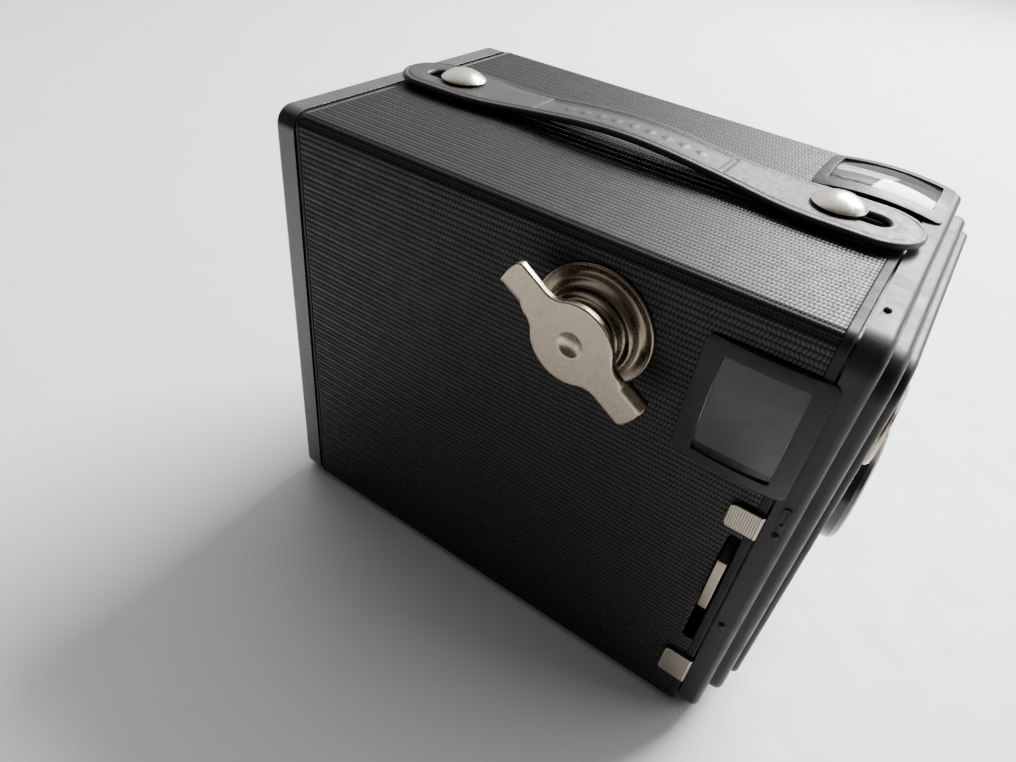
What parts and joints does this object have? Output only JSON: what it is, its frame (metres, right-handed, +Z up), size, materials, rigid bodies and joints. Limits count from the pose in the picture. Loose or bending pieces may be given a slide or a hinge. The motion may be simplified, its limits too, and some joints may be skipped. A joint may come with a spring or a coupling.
{
  "type": "box camera",
  "caption": "Black box roll-film camera: ribbed covering, folding winding key, two reflecting finders, pull-out aperture and time slides, sprung release lever, hinged back and top strap.",
  "frame": {"origin": "on the ground, at the middle of the body's footprint", "axes": "+Z up, -Y towards the lens, -X towards the side with the winding key"},
  "size_m": [0.0867, 0.1291, 0.107],
  "materials": {
    "black_enamel": "semi-gloss black stoving enamel on sheet steel",
    "leatherette": "black embossed leatherette, herringbone grain",
    "nickel": "worn nickel plating",
    "black_brass": "blackened",
    "black_steel": "matt black",
    "brass": "plain",
    "steel": "plain",
    "lens_glass": "polished",
    "finder_glass": "polished, slightly domed",
    "mirror": "silvered",
    "strap_leather": "smooth black, embossed rim line",
    "red_celluloid": "clear deep red",
    "yellow_glass": "polished",
    "wood": "plain turned wood"
  },
  "bodies": {
    "camera_body": {"body_shell": "black_enamel", "leatherette_wrap": "leatherette", "front_cover": "black_enamel", "front_plate": "black_enamel", "lens_ring": "black_enamel", "taking_lens": "lens_glass", "lens_retainer": "black_brass", "shutter_plate": "black_steel", "plate_posts": "brass", "plate_screws": "nickel", "slide_guides": "black_steel", "mechanism_pins": "steel", "pivot_clips": "steel", "return_spring": "steel", "landscape_finder_frame": "black_enamel", "landscape_window": "finder_glass", "landscape_housing": "black_steel", "landscape_mirror": "mirror", "landscape_objective": "lens_glass", "portrait_finder_frame": "black_enamel", "portrait_window": "finder_glass", "portrait_housing": "black_steel", "portrait_mirror": "mirror", "portrait_objective": "lens_glass", "objective_rings": "nickel", "insert_frame": "black_steel", "light_cone": "black_steel", "film_gate": "black_steel", "roller_axles": "steel", "supply_pins": "steel", "take_up_pivot": "steel", "brake_spring": "steel", "key_bush": "nickel", "key_bush_nut": "steel", "strap": "strap_leather", "strap_studs": "nickel", "stud_washers": "steel", "tripod_bush_bottom": "nickel", "tripod_bush_side": "nickel", "catch_spring": "steel", "hinge_leaf_body": "black_enamel", "hinge_pin": "steel", "hinge_rivets": "black_enamel"},
    "back": {"back_cover": "black_enamel", "back_panel": "leatherette", "red_window": "red_celluloid", "red_window_ring": "nickel", "hinge_leaf_back": "black_enamel"},
    "aperture_control": {"aperture_slide": "nickel", "yellow_filter": "yellow_glass"},
    "time_control": {"time_slide": "nickel"},
    "lever": {"release_lever": "nickel"},
    "shutter": {"shutter_disc": "black_steel"},
    "sleeve": {"key_sleeve": "nickel"},
    "key": {"winding_key": "nickel", "key_shaft": "steel"},
    "take_up_spool": {"take_up_core": "wood", "take_up_flanges": "black_steel"},
    "low_roller": {"lower_roller": "nickel"},
    "high_roller": {"upper_roller": "nickel"}
  },
  "joints": [
    {"name": "back_hinge", "type": "hinge", "parent": "camera_body", "child": "back", "pos_m": [0.0394, 0.0543, 0.051], "axis": [0, 0, -1], "range_deg": [0, 110]},
    {"name": "aperture_pull", "type": "slide", "parent": "camera_body", "child": "aperture_control", "axis": [-1, 0, 0], "range_m": [0, 0.02]},
    {"name": "time_pull", "type": "slide", "parent": "camera_body", "child": "time_control", "axis": [-1, 0, 0], "range_m": [0, 0.006]},
    {"name": "lever_swing", "type": "hinge", "parent": "camera_body", "child": "lever", "pos_m": [-0.01, -0.052, 0.044], "axis": [0, -1, 0], "range_deg": [0, 22]},
    {"name": "shutter_swing", "type": "hinge", "parent": "camera_body", "child": "shutter", "pos_m": [0.009, -0.05335, 0.043], "axis": [0, -1, 0], "range_deg": [0, 92]},
    {"name": "sleeve_turn", "type": "hinge", "parent": "camera_body", "child": "sleeve", "pos_m": [-0.041, -0.0167, 0.086], "axis": [-1, 0, 0], "continuous": true},
    {"name": "key_pull", "type": "slide", "parent": "sleeve", "child": "key", "axis": [-1, 0, 0], "range_m": [0, 0.005]},
    {"name": "spool_turn", "type": "hinge", "parent": "camera_body", "child": "take_up_spool", "pos_m": [0, -0.0167, 0.086], "axis": [-1, 0, 0], "continuous": true},
    {"name": "low_roller_turn", "type": "hinge", "parent": "camera_body", "child": "low_roller", "pos_m": [0, 0.0506, 0.005], "axis": [1, 0, 0], "continuous": true},
    {"name": "high_roller_turn", "type": "hinge", "parent": "camera_body", "child": "high_roller", "pos_m": [0, 0.0506, 0.097], "axis": [1, 0, 0], "continuous": true}
  ],
  "couplings": [
    {"joint": "shutter_swing", "follows": "lever_swing", "ratio": 4.15},
    {"joint": "spool_turn", "follows": "sleeve_turn", "ratio": 1}
  ]
}
